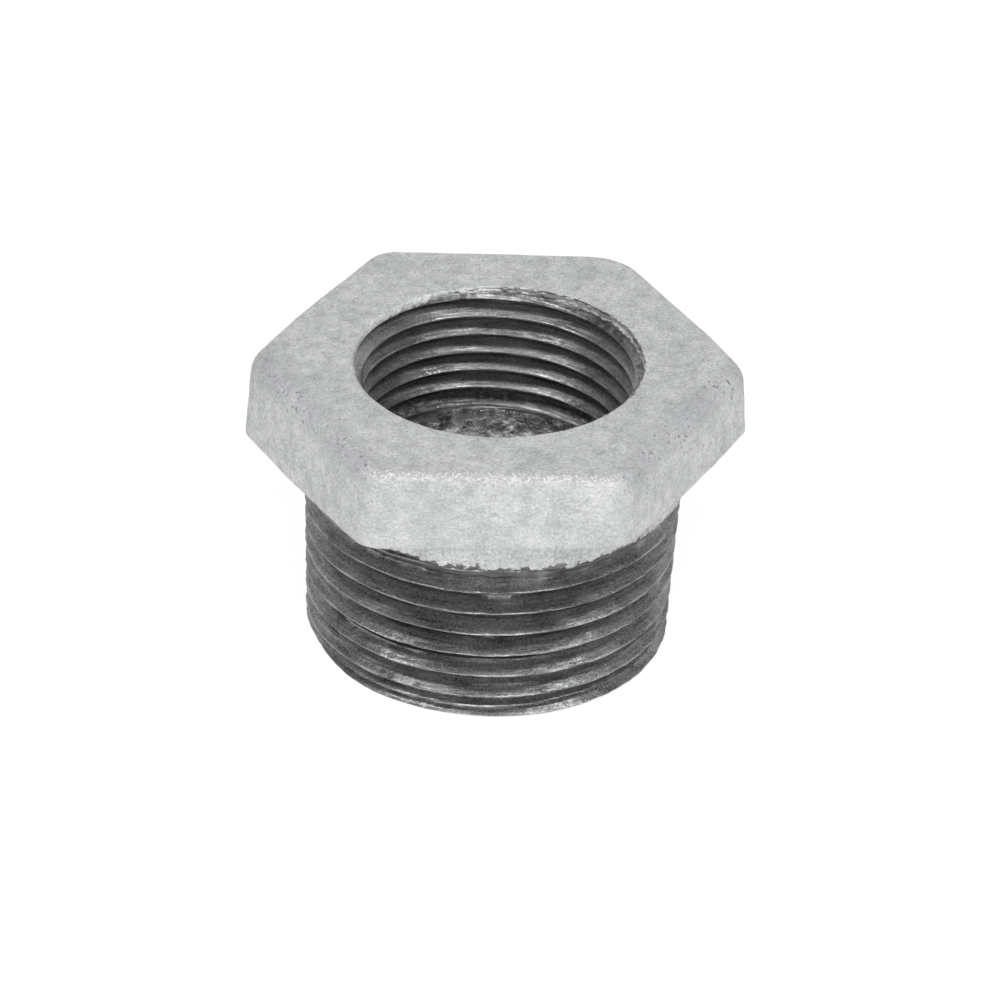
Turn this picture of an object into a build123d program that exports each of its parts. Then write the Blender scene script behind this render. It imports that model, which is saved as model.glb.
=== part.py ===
from build123d import *
import math
import os

os.makedirs("parts", exist_ok=True)

# Reducing hex bushing for steel pipe, 1 inch outside thread by 3/4 inch inside thread.
# It is one malleable iron casting, galvanised, with both threads cut afterwards.
# Lengths are in millimetres and angles in degrees. The origin is the centre of the
# threaded end's face, +Z runs up the thread axis and one flat of the head faces -Y.

INCH = 25.4

# Tapered pipe thread, right-handed. The taper is the same for both threads.
thread_angle = 60.0  # between the two flanks
taper = 1 / 16  # growth of diameter for each unit of height

# Outside thread, 1 inch, narrow end down
outer_pitch = INCH / 11.5
outer_end_radius = 16.30  # crest radius at the end face
outer_flat = 0.20  # width of the crest and of the root
outer_crest_height = 0.64  # lowest crest above the end face, where it passes over +X
end_chamfer = 0.30
valley_start = -2.67  # height of the valley where it starts, below the end face
valley_turns = 1.5  # length of one piece of the valley
valley_lap = 0.2  # angle by which a piece laps the one below

# Run-out, where the valleys of the outside thread fill up towards the neck
runout_height = 2.6
neck_bottom = 15.8
neck_radius = 17.0

# Hex head, measured at the middle of a flat's lower edge
underside_height = 19.2
head_height = 7.7
across_flats = 38.6
draft_angle = 2.2  # the flats lean in towards the top
corner_radius = 1.5
top_edge_radius = 0.9
underside_angle = 6.3  # the underside rises from the neck to the corners

# The casting isn't quite square with the threads: one side of it stands high.
head_lean = 1.4
head_high_side = 30.0  # measured round the thread axis from +X
underside_lean = 2.8
underside_high_side = 0.0

# Passage: a cored hole from below, and above it the narrower bore of the 3/4 inch
# inside thread, wide end up
waterway_radius = 12.2
waterway_length = 14.6
step_height = 0.5  # from the cored hole in to the bore
inner_mouth_radius = 12.0  # crests of the thread at the head's face
mouth_radius = 12.75  # of the entry chamfer, in the head's leaning face
mouth_angle = 28.0  # between the entry chamfer and its axis

# Overshoot of cutting and joining tools past the surface they meet
overshoot = 0.05
margin = 2.0

face_height = underside_height + head_height
slope = taper / 2  # growth of radius for each unit of height
outer_depth = (outer_pitch / 2 - outer_flat) / math.tan(math.radians(thread_angle / 2))


def turned(*points):
    """Solid turned about Z from a closed outline of (radius, height) points."""
    return revolve(Plane.XZ * Polygon(*points, align=None), Axis.Z)


def valley_pieces():
    """The outside thread's valley as a stack of pieces, each lapping the one below."""
    slant = math.atan(slope)
    reach = outer_depth + overshoot
    half_root = outer_flat / 2
    half_mouth = half_root + reach * math.tan(math.radians(thread_angle / 2))
    outline = Polygon(
        (0, -half_root),
        (reach, -half_mouth),
        (reach, half_mouth),
        (0, half_root),
        align=None,
    )

    # It starts and ends clear of the shank, with its lowest piece starting over -X.
    lap = outer_pitch * valley_lap / 360
    lift = outer_pitch * valley_turns
    valley = []
    for piece in range(math.ceil((neck_bottom + outer_pitch - valley_start) / lift)):
        height = valley_start + piece * lift - lap
        root_radius = outer_end_radius - outer_depth + slope * height
        path = Helix(
            pitch=outer_pitch / math.cos(slant),
            height=lift + lap,
            radius=root_radius,
            center=(0, 0, height),
            cone_angle=math.degrees(slant),
        )
        section = Plane.XZ * Pos(root_radius, height) * outline
        turn = 180 + 360 * valley_turns * piece - valley_lap
        valley.append(Rot(0, 0, turn) * sweep(section, path=path, is_frenet=True))
    return valley


def threaded_shank():
    """Outside thread with its chamfered end, its run-out and the neck above it."""
    top = underside_height
    blank = turned(
        (0, 0),
        (outer_end_radius - end_chamfer, 0),
        (outer_end_radius + slope * end_chamfer, end_chamfer),
        (outer_end_radius + slope * top, top),
        (0, top),
    )
    runout_bottom = neck_bottom - runout_height
    root_radius = outer_end_radius - outer_depth + slope * runout_bottom
    neck = turned(
        (0, runout_bottom),
        (root_radius - overshoot, runout_bottom),
        (neck_radius, neck_bottom),
        (neck_radius, top + margin),
        (0, top + margin),
    )
    turn = 360 * (valley_start - outer_crest_height) / outer_pitch
    return Rot(0, 0, turn) * (blank - valley_pieces() + neck)


def leaning(solid, angle, high_side):
    """Tips a solid about the middle of the head's underside, with one side up."""
    return (
        Pos(0, 0, underside_height)
        * Rot(0, 0, high_side)
        * Rot(0, -angle, 0)
        * Rot(0, 0, -high_side)
        * Pos(0, 0, -underside_height)
        * solid
    )


def hex_head():
    """Drafted hexagon with soft cast edges, over a shallow conical underside."""
    widening = 2 * margin * math.tan(math.radians(draft_angle))
    outline = RegularPolygon(
        (across_flats + widening) / 2, side_count=6, major_radius=False
    )
    outline = fillet(outline.vertices(), corner_radius)
    prism = extrude(
        Pos(0, 0, underside_height - margin) * outline,
        amount=head_height + margin,
        taper=draft_angle,
    )
    top_edges = prism.faces().sort_by(Axis.Z)[-1].edges()
    prism = leaning(fillet(top_edges, top_edge_radius), head_lean, head_high_side)

    rise = math.tan(math.radians(underside_angle))
    middle = across_flats / 2
    above = turned(
        (0, underside_height - rise * middle),
        (2 * middle, underside_height + rise * middle),
        (2 * middle, face_height + 2 * margin),
        (0, face_height + 2 * margin),
    )
    return prism & leaning(above, underside_lean, underside_high_side)


def passage():
    """Everything that is hollow: cored hole, tapered bore and entry chamfer.

    The bore has the radius of the inside thread's crests.
    """
    bore_bottom = waterway_length + step_height
    bore = turned(
        (0, -margin),
        (waterway_radius, -margin),
        (waterway_radius, waterway_length),
        (inner_mouth_radius - slope * (face_height - bore_bottom), bore_bottom),
        (inner_mouth_radius + slope * margin, face_height + margin),
        (0, face_height + margin),
    )
    flare = math.tan(math.radians(mouth_angle))
    entry = turned(
        (0, face_height - mouth_radius / flare),
        (mouth_radius + flare * margin, face_height + margin),
        (0, face_height + margin),
    )
    return bore + leaning(entry, head_lean, head_high_side)


bushing = threaded_shank() + hex_head() - passage()
export_step(bushing.solids()[0], "parts/hex_bushing.step")
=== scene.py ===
import math

import bmesh
import bpy
import numpy as np
from mathutils import Matrix, Vector


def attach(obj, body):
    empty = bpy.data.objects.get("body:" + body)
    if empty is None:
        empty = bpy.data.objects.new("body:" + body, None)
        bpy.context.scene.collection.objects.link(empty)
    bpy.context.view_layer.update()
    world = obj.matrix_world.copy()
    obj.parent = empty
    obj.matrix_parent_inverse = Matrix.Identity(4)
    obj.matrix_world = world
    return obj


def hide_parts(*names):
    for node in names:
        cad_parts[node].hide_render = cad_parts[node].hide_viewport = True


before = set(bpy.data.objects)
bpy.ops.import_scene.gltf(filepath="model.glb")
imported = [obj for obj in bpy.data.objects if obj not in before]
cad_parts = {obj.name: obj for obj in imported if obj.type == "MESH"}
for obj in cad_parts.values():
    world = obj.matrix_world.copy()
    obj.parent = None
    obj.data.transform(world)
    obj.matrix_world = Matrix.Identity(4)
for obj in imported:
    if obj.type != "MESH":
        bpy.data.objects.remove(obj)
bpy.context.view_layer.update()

# Outside thread and neck
# Tapered pipe thread cut into the shank by a die, with a plain neck above it that the die
# didn't reach. It is laid out as rings of points, from the end face up to the head.

# Lengths are in millimetres until the rings become a mesh. The columns of points stand
# closer together near the head's six corners.
near_corner = 4
sector = np.concatenate([
    np.linspace(0, near_corner, 7)[:-1],
    np.linspace(near_corner, 60 - near_corner, 43)[:-1],
    np.linspace(60 - near_corner, 60, 7)[:-1],
])
theta = np.radians(np.append(np.concatenate([sector + 60 * k for k in range(6)]), 360))
cos, sin = np.cos(theta), np.sin(theta)


def ring_at(radius, height):
    """A ring of points at a radius and height, which may vary round the ring."""
    ones = np.ones_like(theta)
    return np.stack([radius * cos, radius * sin, height * ones], axis=-1)


def noise(points, size, seed):
    """Smooth noise between -1 and 1, with features of a size in millimetres."""
    cells = 32
    table = np.random.default_rng(seed).uniform(-1, 1, (cells, cells, cells))
    scaled = points / size
    cell = np.floor(scaled).astype(int)
    part = scaled - cell
    part = part * part * (3 - 2 * part)
    total = 0
    for corner in np.ndindex(2, 2, 2):
        weight = np.prod(np.where(corner, part, 1 - part), axis=-1)
        i, j, k = np.moveaxis((cell + corner) % cells, -1, 0)
        total = total + weight * table[i, j, k]
    return total


def off_crest(height, crest_height, pitch):
    """Distance along the axis from the nearest crest of a right-handed thread."""
    turns = (height - crest_height) / pitch - theta / (2 * math.pi)
    return np.abs(turns - np.round(turns)) * pitch


def helical_heights(crest_height, pitch, steps, low, high):
    """Heights of rings that follow a thread, from low to high, which may vary round them."""
    first = math.floor((np.min(low) - crest_height) / pitch) - 2
    last = math.ceil((np.max(high) - crest_height) / pitch) + 1
    heights = []
    for turn in range(first, last):
        for step in steps:
            height = crest_height + pitch * (turn + step + theta / (2 * math.pi))
            heights.append(np.clip(height, low, high))
    return heights


inch = 25.4
slope = 1 / 32  # growth of radius for each unit of height, in both threads
half_thread_angle = math.radians(30)
outer_pitch = inch / 11.5
outer_end_radius = 16.30
outer_flat = 0.11
outer_depth = (outer_pitch / 2 - outer_flat) / math.tan(half_thread_angle)
outer_crest_height = 0.64
end_chamfer = 0.30
fuller_end = 0.4  # by which the end face reaches further out on its low side, towards -X
neck_bottom = 16.0
neck_radius = 17.0
runout_height = 2.6
shank_skin = 16  # radius of the cylinder on which the shank's roughness is read

# The die started twice, which left a second ridge in the lowest valleys. It stands lower
# than the crests, and lower still with height.
ridge_heights = [1.2, 3.6, 5.6, 10]
ridge_drops = [0.3, 0.5, 1.15, 1.45]
ridge_steepness = 1.7

# A drop of zinc hangs from the lower edge of the neck.
drop_angle = math.radians(293.5)
drop_height = 15.7
drop_size = 0.45


def shank_radius(height):
    """Radius of the shank round a ring, with its thread, run-out and neck."""
    spot = ring_at(shank_skin, height)
    wander = 0.04 * noise(spot, 2.5, 1)
    away = off_crest(height + wander, outer_crest_height, outer_pitch)
    fall = np.clip((away - outer_flat / 2) / (outer_pitch / 2 - outer_flat), 0, 1)
    crest = outer_end_radius + slope * height
    low_side = np.clip(-cos, 0, 1) ** 2
    nicks = 0.30 * np.clip(noise(spot, 1.6, 3) - 0.55, 0, 1)
    ragged_crest = np.clip(1 - fall * 4, 0, 1) * (0.05 * noise(spot, 0.7, 2) - nicks)
    thread = crest - outer_depth * fall + ragged_crest + 0.02 * noise(spot, 0.5, 4)

    below_crest = np.interp(height, ridge_heights, ridge_drops) - 0.25 * low_side
    ridge = crest - below_crest - ridge_steepness * np.abs(away - outer_pitch / 2)
    thread = np.maximum(thread, ridge + 0.05 * noise(spot, 0.8, 16))

    start = neck_bottom - runout_height
    root = outer_end_radius + slope * start - outer_depth
    round_neck = spot * [1, 1, 0]
    jag = 0.22 * noise(round_neck, 0.8, 5) + 0.15 * noise(round_neck, 2.4, 6)
    rise = np.clip((height - start - jag) / runout_height, 0, 1)
    neck = root + (neck_radius - root) * rise + 0.05 * noise(spot, 1.5, 7) * (rise > 0.9)
    neck = neck + 0.07 * noise(spot, 0.45, 17) * (rise > 0.1)
    from_drop = np.hypot((theta - drop_angle) * neck_radius, height - drop_height)
    neck = neck + drop_size * np.exp(-((from_drop / drop_size) ** 2))

    end_limit = outer_end_radius - end_chamfer + fuller_end * low_side + height
    return np.minimum(np.maximum(thread, neck), end_limit)


# Rings for one turn, as shares of a pitch from its crest. They are closer at the crest.
crest_steps = (-0.15, -0.07, -0.035, 0, 0.035, 0.07, 0.15)
outer_steps = (-0.42, -0.33, -0.24, *crest_steps, 0.24, 0.33, 0.42, 0.5)
rings = []
neck_start = 16.5
for height in helical_heights(outer_crest_height, outer_pitch, outer_steps, 0, neck_start):
    rings.append(ring_at(shank_radius(height), height))
end_edge = rings[0]

# Hexagonal head
# Cast with draft and soft edges on a shallow conical underside, a little out of square
# with the shank, and covered with a dull, blotchy coat of zinc.

underside_height = 19.2
head_height = 7.7
face_height = underside_height + head_height
half_flats = 19.3
half_sector = math.pi / 6  # from a corner of the head to the middle of a flat
draft = math.tan(math.radians(2.2))
lower_corner_radius = 1.2 + 2.2 * np.clip(-sin, 0, 1) ** 4
upper_corner_radius = 2.9 + 2.0 * np.clip(np.cos(theta - math.radians(60)), 0, 1) ** 8
underside_rise = math.tan(math.radians(6.3))
underside_lean = math.tan(math.radians(2.8))
underside_sag = 0.25
head_lean = math.radians(1.4)
head_high_side = math.radians(30)
towards_high = np.cos(theta - head_high_side)
tilt = Matrix.Rotation(head_high_side, 3, "Z") @ Matrix.Rotation(-head_lean, 3, "Y")
tilt = np.array(tilt @ Matrix.Rotation(-head_high_side, 3, "Z"))


def underside(radius):
    """Height of the head's underside at a radius, which may vary round the ring."""
    middle = underside_height + underside_rise * (radius - half_flats)
    return middle + underside_lean * radius * cos - underside_sag * np.clip(-cos, 0, 1)


def outline(height):
    """Radius round a ring of the head, at a height over its underside."""
    half = half_flats - draft * height
    share = np.clip(height / head_height, 0, 1)
    corner_radius = lower_corner_radius + (upper_corner_radius - lower_corner_radius) * share**2
    turn = np.abs((theta + half_sector) % (2 * half_sector) - half_sector)
    flat = half / np.cos(half_sector - turn)
    centre = (half - corner_radius) / math.cos(half_sector)
    reach = np.maximum(corner_radius**2 - (centre * np.sin(turn)) ** 2, 0)
    bend = centre * np.cos(turn) + np.sqrt(reach)
    tangent = np.arctan2(corner_radius / 2, centre + corner_radius * math.cos(half_sector))
    return np.where(turn < tangent, bend, flat)


def leaned(ring):
    """Tips a ring about the middle of the head's underside, with its high side up."""
    middle = [0, 0, underside_height]
    return (ring - middle) @ tilt.T + middle


def between(first, last, shares):
    """Rings at shares of the way from one ring to another."""
    return [first + (last - first) * share for share in shares]


def inner_shares(steps):
    """Equal shares of the way, without its two ends."""
    return np.linspace(0, 1, steps + 1)[1:-1]


def rounded(before, edge, after, size, steps):
    """Rings round a soft edge, which starts and ends at a distance from it."""
    start = edge + (before - edge) * (size / np.linalg.norm(before - edge, axis=-1))[:, None]
    end = edge + (after - edge) * (size / np.linalg.norm(after - edge, axis=-1))[:, None]
    shares = np.linspace(0, 1, steps)
    return [(1 - t) ** 2 * start + 2 * t * (1 - t) * edge + t**2 * end for t in shares]


# The lower edge is where the underside meets the leaning flats, found in three rounds.
low = np.zeros_like(theta)
for attempt in range(3):
    edge_radius = outline(low)
    lift = edge_radius * towards_high * math.sin(head_lean)
    low = underside(edge_radius) - underside_height - lift
bottom_edge = leaned(ring_at(edge_radius, underside_height + low))
top_edge = leaned(ring_at(outline(head_height), face_height))

# The rim of the mouth, which the tool tore on one side
mouth_radius = 12.75
flare = math.tan(math.radians(28))
torn_side = math.radians(50)
torn = np.clip(1.6 * np.cos(theta - torn_side), 0, 1)
rim_line = ring_at(mouth_radius, face_height)
rim = mouth_radius + (0.03 + 0.22 * torn) * noise(rim_line, 0.55, 8)
rim = rim + 0.06 * noise(rim_line, 2.0, 9)
mouth_edge = leaned(ring_at(rim, face_height))
below_mouth = leaned(ring_at(rim - flare, face_height - 1))

# From the neck out under the head, up its flats and in over the top to the mouth. The soft
# edge of the top is softest over the corners at the sides and front.
underside_softness = 0.5
lower_softness = 0.45
upper_softness = np.interp(
    np.degrees(theta),
    [0, 8, 20, 160, 172, 180, 233, 245, 295, 307, 360],
    [1.8, 1.2, 0.6, 0.6, 1.2, 1.8, 2.0, 0.8, 0.8, 2.0, 1.8],
)
lip_softness = 0.10 + 0.25 * np.clip(-cos, 0, 1)
neck_top = ring_at(neck_radius, underside(neck_radius))
neck_foot = ring_at(shank_radius(neck_start), neck_start)
head = between(neck_foot, neck_top, np.linspace(0.1, 0.75, 6))
head += rounded(neck_foot, neck_top, bottom_edge, underside_softness, 4)
under = rounded(neck_top, bottom_edge, top_edge, lower_softness, 5)
head += between(head[-1], under[0], inner_shares(6))
head += under
over = rounded(bottom_edge, top_edge, mouth_edge, upper_softness, 8)
head += between(under[-1], over[0], inner_shares(12))
head += over
lip = rounded(top_edge, mouth_edge, below_mouth, lip_softness, 4)
head += between(over[-1], lip[0], inner_shares(13))
head_middle = [0, 0, 23]
for ring in head:
    outward = ring - head_middle
    outward = outward / np.linalg.norm(outward, axis=-1)[:, None]
    waves = 0.08 * noise(ring, 5.0, 10) + 0.04 * noise(ring, 1.4, 11)
    rings.append(ring + outward * waves[:, None])
rings += lip

# Passage
# Entry chamfer and tapered inside thread, cut by a tap whose tip left the last turn shallow,
# above a wider hole as cast. At the bottom the end face closes the solid.

inner_pitch = inch / 14
inner_flat = 0.12
inner_depth = (inner_pitch / 2 - inner_flat) / math.tan(half_thread_angle)
inner_crest_height = 23.95
inner_mouth_radius = 12.0
waterway_radius = 12.2
waterway_length = 14.6
step_height = 0.5
tip_height = 1.6
bore_bottom = waterway_length + step_height
bore_radius = inner_mouth_radius - slope * (face_height - bore_bottom)
bore_skin = 12  # radius of the cylinder on which the thread's roughness is read


def passage_radius(height):
    """Radius of the passage round a ring, above the cored hole."""
    spot = ring_at(bore_skin, height)
    wander = 0.03 * noise(spot, 2.5, 12)
    away = off_crest(height + wander, inner_crest_height, inner_pitch)
    rise = np.clip((away - inner_flat / 2) / (inner_pitch / 2 - inner_flat), 0, 1)
    crest = inner_mouth_radius + slope * (height - face_height)
    thread = crest + inner_depth * rise + 0.012 * noise(spot, 0.5, 13)
    tip_share = (height - waterway_length) / tip_height
    tip = waterway_radius + (bore_radius + inner_depth - waterway_radius) * tip_share
    step_share = (height - waterway_length) / step_height
    step = waterway_radius + (bore_radius - waterway_radius) * step_share
    rim_height = face_height + head_lean * mouth_radius * towards_high
    mouth = mouth_radius + flare * (height - rim_height) - head_lean * head_height * towards_high
    return np.maximum(np.maximum(np.minimum(thread, tip), mouth), step)


inner_steps = (-0.4, -0.3, -0.21, -0.13, -0.07, -0.033, 0, 0.033, 0.07, 0.13, 0.21, 0.3, 0.4, 0.5)
start_height = lip[-1][:, 2]
inside = helical_heights(
    inner_crest_height, inner_pitch, inner_steps, waterway_length, start_height
)
for height in inside[::-1]:
    ring = ring_at(passage_radius(height), height)
    ring = np.where((height >= start_height - 1e-9)[:, None], lip[-1], ring)
    rings.append(ring)

# The cored wall is wavy and stands in a little between its two ends.
foot_height = 0.3
foot_widening = 0.25
wall_bulge = 0.35
hole_foot = ring_at(waterway_radius, foot_height)
for ring in between(rings[-1], hole_foot, np.linspace(0, 1, 24)[1:]):
    above_face = ring[:, 2]
    ends = np.clip(waterway_length - above_face, 0, 1) * np.clip(above_face, 0, 1)
    waves = ends * (0.14 * noise(ring, 2.6, 14) + 0.10 * noise(ring, 1.1, 15))
    bulge = wall_bulge * np.clip((14.2 - above_face) / 1.2, 0, 1) * np.clip(above_face / 3, 0, 1)
    rings.append(ring + ring_at(waves - bulge, 0))
face_inner = ring_at(waterway_radius + foot_widening, 0)
rings += between(face_inner, end_edge, np.linspace(0, 1, 5))

# The rings become one closed mesh. Those that follow a thread run together at its ends,
# and the first and last column are the same, so points in one place become one.
count = len(theta)
points = np.concatenate(rings) / 1000
faces = []
for row in range(len(rings) - 1):
    for column in range(count - 1):
        first = row * count + column
        faces.append((first, first + 1, first + count + 1, first + count))
mesh = bpy.data.meshes.new("hex_bushing_detail")
mesh.from_pydata(points.tolist(), [], faces)
shape = bmesh.new()
shape.from_mesh(mesh)
bmesh.ops.remove_doubles(shape, verts=shape.verts, dist=2e-7)
shape.to_mesh(mesh)
shape.free()
mesh.shade_smooth()
mesh.set_sharp_from_angle(angle=math.radians(42))
bushing = bpy.data.objects.new("hex_bushing_detail", mesh)
bpy.context.scene.collection.objects.link(bushing)


class Socket:
    """A shader socket on which Python's arithmetic makes Math nodes."""

    def __init__(self, socket):
        self.socket = socket

    def node(self, kind, settings, inputs, output=0):
        """Adds a node to the socket's tree and returns one of its outputs."""
        tree = self.socket.id_data
        node = tree.nodes.new(kind)
        for name, value in settings.items():
            setattr(node, name, value)
        for name, value in inputs.items():
            if isinstance(value, Socket):
                tree.links.new(value.socket, node.inputs[name])
            else:
                node.inputs[name].default_value = value
        return Socket(node.outputs[output])

    def math(self, operation, *values):
        return self.node("ShaderNodeMath", {"operation": operation}, dict(enumerate(values)))

    def __add__(self, other):
        return self.math("ADD", self, other)

    def __radd__(self, other):
        return self.math("ADD", other, self)

    def __sub__(self, other):
        return self.math("SUBTRACT", self, other)

    def __rsub__(self, other):
        return self.math("SUBTRACT", other, self)

    def __mul__(self, other):
        return self.math("MULTIPLY", self, other)

    def __rmul__(self, other):
        return self.math("MULTIPLY", other, self)

    def __truediv__(self, other):
        return self.math("DIVIDE", self, other)

    def __rtruediv__(self, other):
        return self.math("DIVIDE", other, self)

    def __pow__(self, other):
        return self.math("POWER", self, other)

    def __neg__(self):
        return self.math("MULTIPLY", self, -1)

    def __abs__(self):
        return self.math("ABSOLUTE", self)

    def larger(self, other):
        return self.math("MAXIMUM", self, other)

    def smaller(self, other):
        return self.math("MINIMUM", self, other)

    def along(self, axis):
        """One part of a vector, by the name of its axis."""
        return self.node("ShaderNodeSeparateXYZ", {}, {"Vector": self}, axis)

    def ramp(self, none, full):
        """0 up to one value and 1 from the other on, smooth between. Either may be larger."""
        settings = {"interpolation_type": "SMOOTHSTEP"}
        inputs = {"Value": self, "From Min": none, "From Max": full}
        return self.node("ShaderNodeMapRange", settings, inputs)

    def grain(self, size, detail, stretch=(1, 1, 1)):
        """Noise about 0 over the point that this socket gives, of a size in its unit."""
        scale = [share / size for share in stretch]
        scaled = self.node("ShaderNodeVectorMath", {"operation": "MULTIPLY"}, {0: self, 1: scale})
        inputs = {"Vector": scaled, "Scale": 1.0, "Detail": detail}
        return self.node("ShaderNodeTexNoise", {}, inputs) - 0.5

    def mixed(self, first, second):
        """The first colour where this socket is 0 and the second where it is 1."""
        inputs = {0: self, 6: first, 7: second}
        return self.node("ShaderNodeMix", {"data_type": "RGBA"}, inputs, 2)


# One material covers the casting: zinc, and where it has been cut through, bare iron.
material = bpy.data.materials.new("galvanised_iron")
material.use_nodes = True
tree = material.node_tree
shader = tree.nodes["Principled BSDF"]
position = Socket(shader.outputs["BSDF"]).node("ShaderNodeTexCoord", {}, {}, "Object")
x, y, z = [position.along(axis) * 1000 for axis in "XYZ"]  # in millimetres
from_axis = (x * x + y * y) ** 0.5
angle = y.math("ARCTAN2", y, x)
lean_x, lean_y = head_lean * math.cos(head_high_side), head_lean * math.sin(head_high_side)
head_z = z - x * lean_x - y * lean_y  # height square to the leaning head


def crest_part(crest_height, pitch):
    """Shader form of off_crest, with its sign: positive above the nearest crest."""
    turns = (z - crest_height) / pitch - angle / (2 * math.pi)
    return (turns - turns.math("ROUND", turns)) * pitch


# Grains from the finest to broad clouds, with their sizes in metres
micro = position.grain(0.00016, 1)
fine = position.grain(0.00026, 2)
ragged = position.grain(0.0006, 2)
medium = position.grain(0.0011, 3)
broad = position.grain(0.0045, 2)

# Where the tools have cut through the coat: the outside thread, the chamfer and the bore.
# The drop of zinc keeps its coat, and so does the rim of the mouth at its low side.
coat_border = 16.0
chamfer_foot = 25.65
bore_limit = 14.3  # a radius between the passage and the outside thread
drop_x, drop_z = 6.8, 15.6
outside = (z + ragged * 2.2 + medium * 1.2).ramp(coat_border + 0.1, coat_border - 0.1)
outside = outside * from_axis.ramp(neck_radius + 0.6, neck_radius + 0.4)
from_drop = ((x - drop_x) ** 2 + (z - drop_z) ** 2) ** 0.5 + ragged * 0.5
outside = outside * (1 - from_drop.ramp(0.55, 0.45) * y.ramp(-10, -11))
coat_over_rim = (x * -0.02 + y * 0.008).larger(0.0)
to_rim = from_axis + coat_over_rim + ragged * 0.5
mouth_cut = to_rim.ramp(mouth_radius + 0.07, mouth_radius - 0.09)
bore_cut = head_z.ramp(chamfer_foot + 0.05, chamfer_foot - 0.05)
bore_cut = bore_cut * from_axis.ramp(bore_limit + 0.1, bore_limit - 0.1)
inside_cut = mouth_cut.larger(bore_cut)
machined = outside.larger(inside_cut)
cored = from_axis.ramp(waterway_radius + 0.4, waterway_radius + 0.3)
cored = cored * z.ramp(waterway_length + 0.1, waterway_length - 0.2)

# The coat: grey zinc with a fine bright and dark grain, mottled, with dark specks and a duller
# blue along the soft edges of the two slanting flats, and chips on the edge of the front flat
# with painted highlights in them.
zinc_dark, zinc_bright = (0.32, 0.33, 0.335, 1), (0.68, 0.69, 0.685, 1)
dull_blue, speck_grey = (0.29, 0.29, 0.32, 1), (0.17, 0.17, 0.18, 1)
chip_grey, painted_glint_grey = (0.36, 0.36, 0.36, 1), (0.66, 0.66, 0.65, 1)
specks = (position.grain(0.00042, 2) + 0.5).ramp(0.60, 0.72)
grit = 1 - y.ramp(-18.2, -18.6) * 0.25  # the front flat is smoother than the rest
zinc_tone = (fine * 1.3 + micro * 0.8 + medium * 0.9) * grit + broad * 0.75 + 0.5
zinc = zinc_tone.mixed(zinc_dark, zinc_bright)
slanting = abs(x) * math.cos(half_sector) - y * math.sin(half_sector)
top_band = head_z.ramp(24.6, 26.1) * slanting.ramp(16.2, 18.3) * y.ramp(4.0, -2.0)
front_edge = (-y + ragged * 0.4).ramp(18.3, 18.7) * abs(x).ramp(11.2, 10.8)
top_band = top_band * (1 - front_edge)
dull = top_band * (medium * 1.8 + micro * 2.0 + 0.30)
zinc = dull.mixed(zinc, dull_blue)
dark_specks = specks * (broad.ramp(0.0, 0.12) * 0.5 + top_band * 0.7) * grit
zinc = dark_specks.mixed(zinc, speck_grey)
chips = (head_z + ragged * 1.3).ramp(26.35, 26.5) * (-y + ragged * 0.5).ramp(18.35, 18.5)
chips = chips * abs(x).ramp(11.1, 10.8)
zinc = (chips * 0.7).mixed(zinc, chip_grey)
# Painted highlight: bright glints in the chips on the front edge.
painted_glints = chips * (fine + micro).ramp(0.02, 0.12)
zinc = (painted_glints * 0.7).mixed(zinc, painted_glint_grey)

# The cut iron: streaks along the thread's turns, a painted highlight on the crests and painted
# shade in the roots. Painted light lifts the run-out and a painted shadow lies just under the
# coat; the torn lip is dark, and the cored hole has a dark skin.
iron_dark, iron_bright = (0.05, 0.052, 0.051, 1), (0.42, 0.43, 0.425, 1)
crest_highlight_grey, root_shade_grey = (0.50, 0.51, 0.51, 1), (0.02, 0.02, 0.02, 1)
runout_light_grey, border_shadow_grey = (0.42, 0.43, 0.42, 1), (0.05, 0.05, 0.05, 1)
torn_grey = (0.10, 0.10, 0.10, 1)
skin_dark, skin_bright = (0.08, 0.08, 0.08, 1), (0.70, 0.70, 0.69, 1)
to_outer = crest_part(outer_crest_height, outer_pitch)
to_inner = crest_part(inner_crest_height, inner_pitch)
across = to_outer * outside + to_inner * (1 - outside)
turned = x.node("ShaderNodeCombineXYZ", {}, {"X": x * 0.05, "Y": y * 0.05 + z * 0.4, "Z": across})
streak = turned.grain(0.17, 3)
smear = position.grain(0.0011, 2, (0.35, 0.35, 1))
iron_tone = streak * 0.8 + smear * 0.6 + micro + fine * 0.5 + inside_cut * 0.12 + 0.44
iron = iron_tone.mixed(iron_dark, iron_bright)
threaded_bore = head_z.ramp(chamfer_foot + 0.15, chamfer_foot - 0.05) * inside_cut
near_crest = abs(to_outer).ramp(0.13, 0.04) * outside
near_crest = near_crest + abs(to_inner).ramp(0.11, 0.03) * threaded_bore
# Painted highlight: the crests of both threads are lightened in colour.
crest_highlight = near_crest * (smear + streak + 0.5).ramp(0.35, 0.65)
iron = (crest_highlight * 0.4).mixed(iron, crest_highlight_grey)
# Painted shade: the roots of both threads are darkened where they lie in shade.
painted_root_shade = abs(to_outer).ramp(0.80, 1.02) * outside * z.ramp(4.4, 4.6)
painted_root_shade = painted_root_shade + abs(to_inner).ramp(0.62, 0.84) * threaded_bore
iron = (painted_root_shade * 0.75).mixed(iron, root_shade_grey)
# Painted light: the run-out, whose slope faces down, is lightened in colour.
painted_light_runout = z.ramp(13.8, 15.2) * outside * (streak * 2.5 + 0.5)
iron = painted_light_runout.mixed(iron, runout_light_grey)
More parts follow.
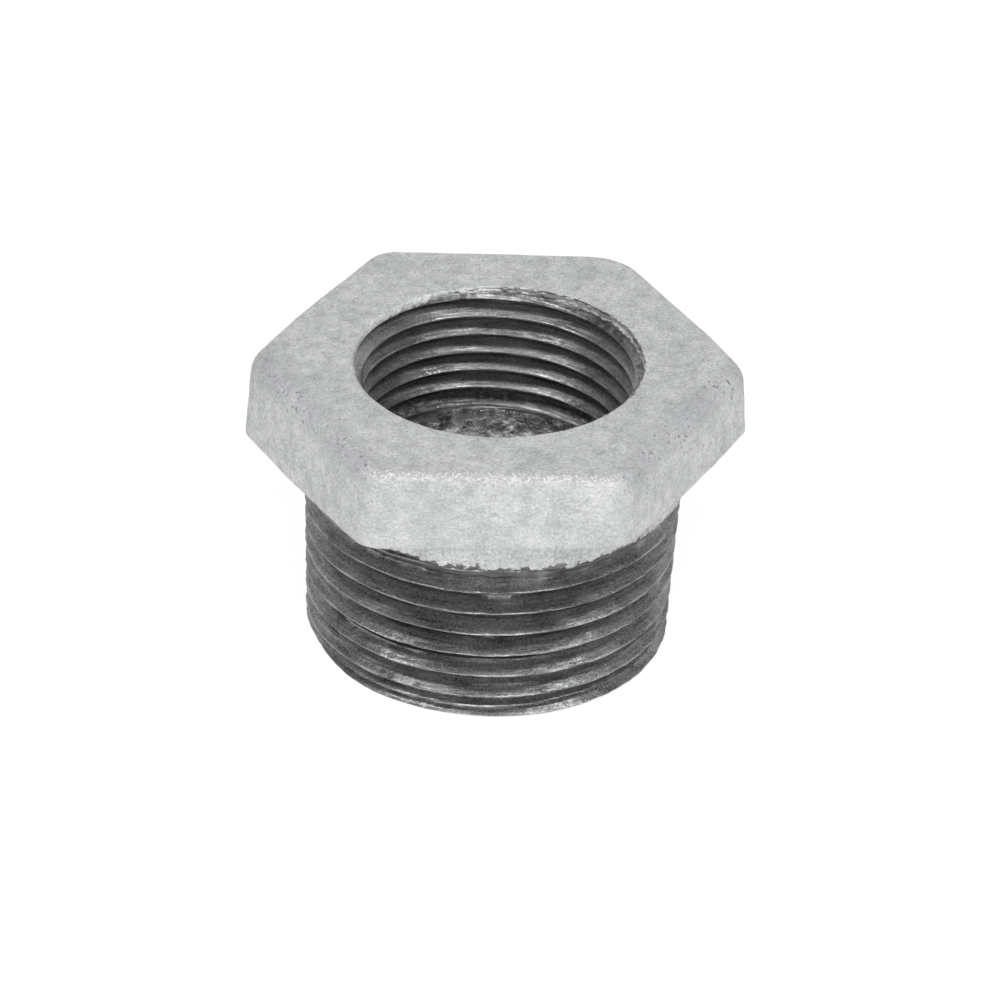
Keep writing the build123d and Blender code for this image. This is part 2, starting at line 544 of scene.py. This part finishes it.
# Painted shadow: a dark band just under the edge of the coat on the neck.
shadow_under_coat = z.ramp(15.3, 15.6) * outside * (ragged * 1.5 + 0.7)
iron = shadow_under_coat.mixed(iron, border_shadow_grey)
torn_lip = head_z.ramp(chamfer_foot - 0.1, chamfer_foot + 0.1) * inside_cut
torn_lip = torn_lip * (ragged * 2.8 + medium * 1.8 + 0.62)
iron = torn_lip.mixed(iron, torn_grey)
skin = (medium * 1.8 + fine + 0.6).mixed(skin_dark, skin_bright)
iron = cored.mixed(iron, skin)

colour = machined.mixed(zinc, iron)
metal = machined * 0.6 + 0.3
matt = 0.55 - machined * 0.19 - cored * 0.08 + medium * 0.15 + chips * 0.15
relief = fine * (0.10 - machined * 0.08) + medium * (0.07 + cored * 0.25)
relief = relief + streak * (machined - cored) * 0.035 + near_crest * fine * 0.08
bump_inputs = {"Height": relief, "Distance": 0.001, "Strength": 0.9}
bump = relief.node("ShaderNodeBump", {}, bump_inputs)
tree.links.new(colour.socket, shader.inputs["Base Color"])
tree.links.new(metal.socket, shader.inputs["Metallic"])
tree.links.new(matt.socket, shader.inputs["Roughness"])
tree.links.new(bump.socket, shader.inputs["Normal"])
mesh.materials.append(material)

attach(bushing, "root")
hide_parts("hex_bushing")

# Floor and surroundings
# A plain white studio floor that keeps a trace of the bushing's shadow, under white
# surroundings that are darker overhead.

floor_half = 4
corners = [(-floor_half, -floor_half, 0), (floor_half, -floor_half, 0)]
corners += [(floor_half, floor_half, 0), (-floor_half, floor_half, 0)]
floor_mesh = bpy.data.meshes.new("floor")
floor_mesh.from_pydata(corners, [], [(0, 1, 2, 3)])
floor = bpy.data.objects.new("floor", floor_mesh)
bpy.context.scene.collection.objects.link(floor)


def seen_in(tree):
    """1 for the camera's rays and those that the bushing reflects or passes on, else 0."""
    camera_ray = Socket(tree.nodes.new("ShaderNodeLightPath").outputs["Is Camera Ray"])
    kinds = camera_ray.socket.node.outputs
    return camera_ray + Socket(kinds["Is Glossy Ray"]) + Socket(kinds["Is Transmission Ray"])


paper = bpy.data.materials.new("paper")
paper.use_nodes = True
paper_tree = paper.node_tree
paper_tree.nodes.clear()
glow_share = seen_in(paper_tree) * 0.8
sheet = glow_share.node("ShaderNodeBsdfDiffuse", {}, {"Color": (0.85, 0.85, 0.85, 1)})
glow = glow_share.node("ShaderNodeEmission", {}, {"Color": (1, 1, 1, 1), "Strength": 1.1})
blend = glow_share.node("ShaderNodeMixShader", {}, {0: glow_share, 1: sheet, 2: glow})
surface = paper_tree.nodes.new("ShaderNodeOutputMaterial")
paper_tree.links.new(blend.socket, surface.inputs["Surface"])
floor_mesh.materials.append(paper)

world = bpy.data.worlds.new("studio")
bpy.context.scene.world = world
world.use_nodes = True
world_tree = world.node_tree
backdrop = world_tree.nodes["Background"]
shown = seen_in(world_tree)
overhead = shown.node("ShaderNodeTexCoord", {}, {}, "Generated").along("Z").ramp(0.35, 0.8)
strength = (shown.smaller(1.0) * 0.5 + 0.5) * (1 - overhead * 0.85)
world_tree.links.new(strength.socket, backdrop.inputs["Strength"])
backdrop.inputs["Color"].default_value = (1, 1, 1, 1)

# Lamps
# Two narrow soft boxes high over the left and right, and a wide one in front. The high ones
# make the two bright columns down the threads.

lamp_aim = Vector((0, 0, 0.015))


def soft_box(name, place, width, height, level):
    """An area lamp that faces the bushing, at a share of the plain level of light."""
    aim = lamp_aim - Vector(place)
    lamp = bpy.data.lights.new(name, "AREA")
    lamp.shape = "RECTANGLE"
    lamp.size = width
    lamp.size_y = height
    lamp.energy = level * (math.pi * aim.length) ** 2
    box = bpy.data.objects.new(name, lamp)
    box.location = place
    box.rotation_euler = aim.to_track_quat("-Z", "Y").to_euler()
    bpy.context.scene.collection.objects.link(box)


for name, side in (("high_left", -1), ("high_right", 1)):
    soft_box(name, (side * 0.235, -0.136, 0.575), width=0.08, height=0.20, level=0.40)
soft_box("front", (0.0, -0.8, 0.35), width=0.6, height=0.4, level=0.54)

# Camera
# A long lens over the front flat, which looks down on the bushing at about 32 degrees and is
# rolled by 3. It stands at a distance from the origin, moved a little across and up.

elevation = math.radians(31.96)
roll = math.radians(3.08)
azimuth = math.radians(-1.16)
distance = 0.420
moved_right, moved_up = 0.00126, 0.01049
forward = Vector((0, math.cos(elevation), -math.sin(elevation)))
level_right = Vector((1, 0, 0))
upright = Vector((0, math.sin(elevation), math.cos(elevation)))
right = level_right * math.cos(roll) + upright * math.sin(roll)
up = upright * math.cos(roll) - level_right * math.sin(roll)
standpoint = right * moved_right + up * moved_up - forward * distance
lens = bpy.data.cameras.new("camera")
lens.sensor_width = 36
lens.lens = 166.85
camera = bpy.data.objects.new("camera", lens)
camera_axes = Matrix((right, up, -forward)).transposed().to_4x4()
placed = Matrix.Translation(standpoint) @ camera_axes
camera.matrix_world = Matrix.Rotation(azimuth, 4, "Z") @ placed
bpy.context.scene.collection.objects.link(camera)
bpy.context.scene.camera = camera

bpy.context.scene.view_settings.view_transform = "Standard"
